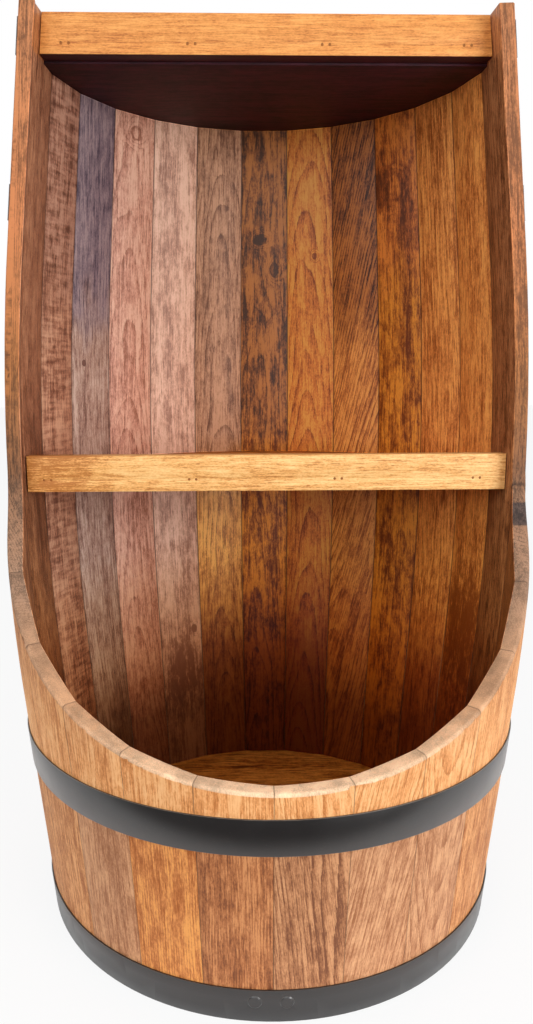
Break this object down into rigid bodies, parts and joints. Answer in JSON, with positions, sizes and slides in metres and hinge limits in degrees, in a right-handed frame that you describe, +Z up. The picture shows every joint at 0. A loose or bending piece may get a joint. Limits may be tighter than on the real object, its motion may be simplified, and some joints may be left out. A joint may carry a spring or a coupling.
{
  "type": "barrel bar cabinet",
  "caption": "Upright oak cask with its front sawn open above a scooped lip, used as an open bar cabinet with a floor, a shelf and a top board.",
  "frame": {"origin": "on the cask's axis, at the ground that it stands on", "axes": "+Z up along the cask's axis, the open front faces -Y, +X to the right of someone facing it"},
  "size_m": [0.5423, 0.5307, 0.9],
  "materials": {
    "stave_oak": "oiled, each stave its own tone, bare sawn edges",
    "floor_oak": "oiled, grain across the cask",
    "board_oak": "dark oiled",
    "rail_pine": "planed, golden, oiled",
    "hoop_steel": "satin dark grey, worn paler along the edges",
    "fastener_steel": "dull dark steel"
  },
  "bodies": {
    "root": {"stave_01": "stave_oak", "stave_02": "stave_oak", "stave_03": "stave_oak", "stave_04": "stave_oak", "stave_05": "stave_oak", "stave_06": "stave_oak", "stave_07": "stave_oak", "stave_08": "stave_oak", "stave_09": "stave_oak", "stave_10": "stave_oak", "stave_11": "stave_oak", "stave_12": "stave_oak", "stave_13": "stave_oak", "stave_14": "stave_oak", "stave_15": "stave_oak", "stave_16": "stave_oak", "stave_17": "stave_oak", "stave_18": "stave_oak", "stave_19": "stave_oak", "stave_20": "stave_oak", "stave_21": "stave_oak", "stave_22": "stave_oak", "stave_23": "stave_oak", "stave_24": "stave_oak", "stave_25": "stave_oak", "floor_board_1": "floor_oak", "floor_board_2": "floor_oak", "floor_board_3": "floor_oak", "floor_board_4": "floor_oak", "shelf_board": "board_oak", "top_board": "board_oak", "shelf_rail": "rail_pine", "top_rail": "rail_pine", "bottom_hoop": "hoop_steel", "lower_hoop": "hoop_steel", "upper_hoop": "hoop_steel", "top_hoop": "hoop_steel", "bottom_hoop_rivets": "fastener_steel", "hoop_nails": "fastener_steel", "shelf_rail_brads": "fastener_steel", "top_rail_brads": "fastener_steel"}
  },
  "joints": []
}
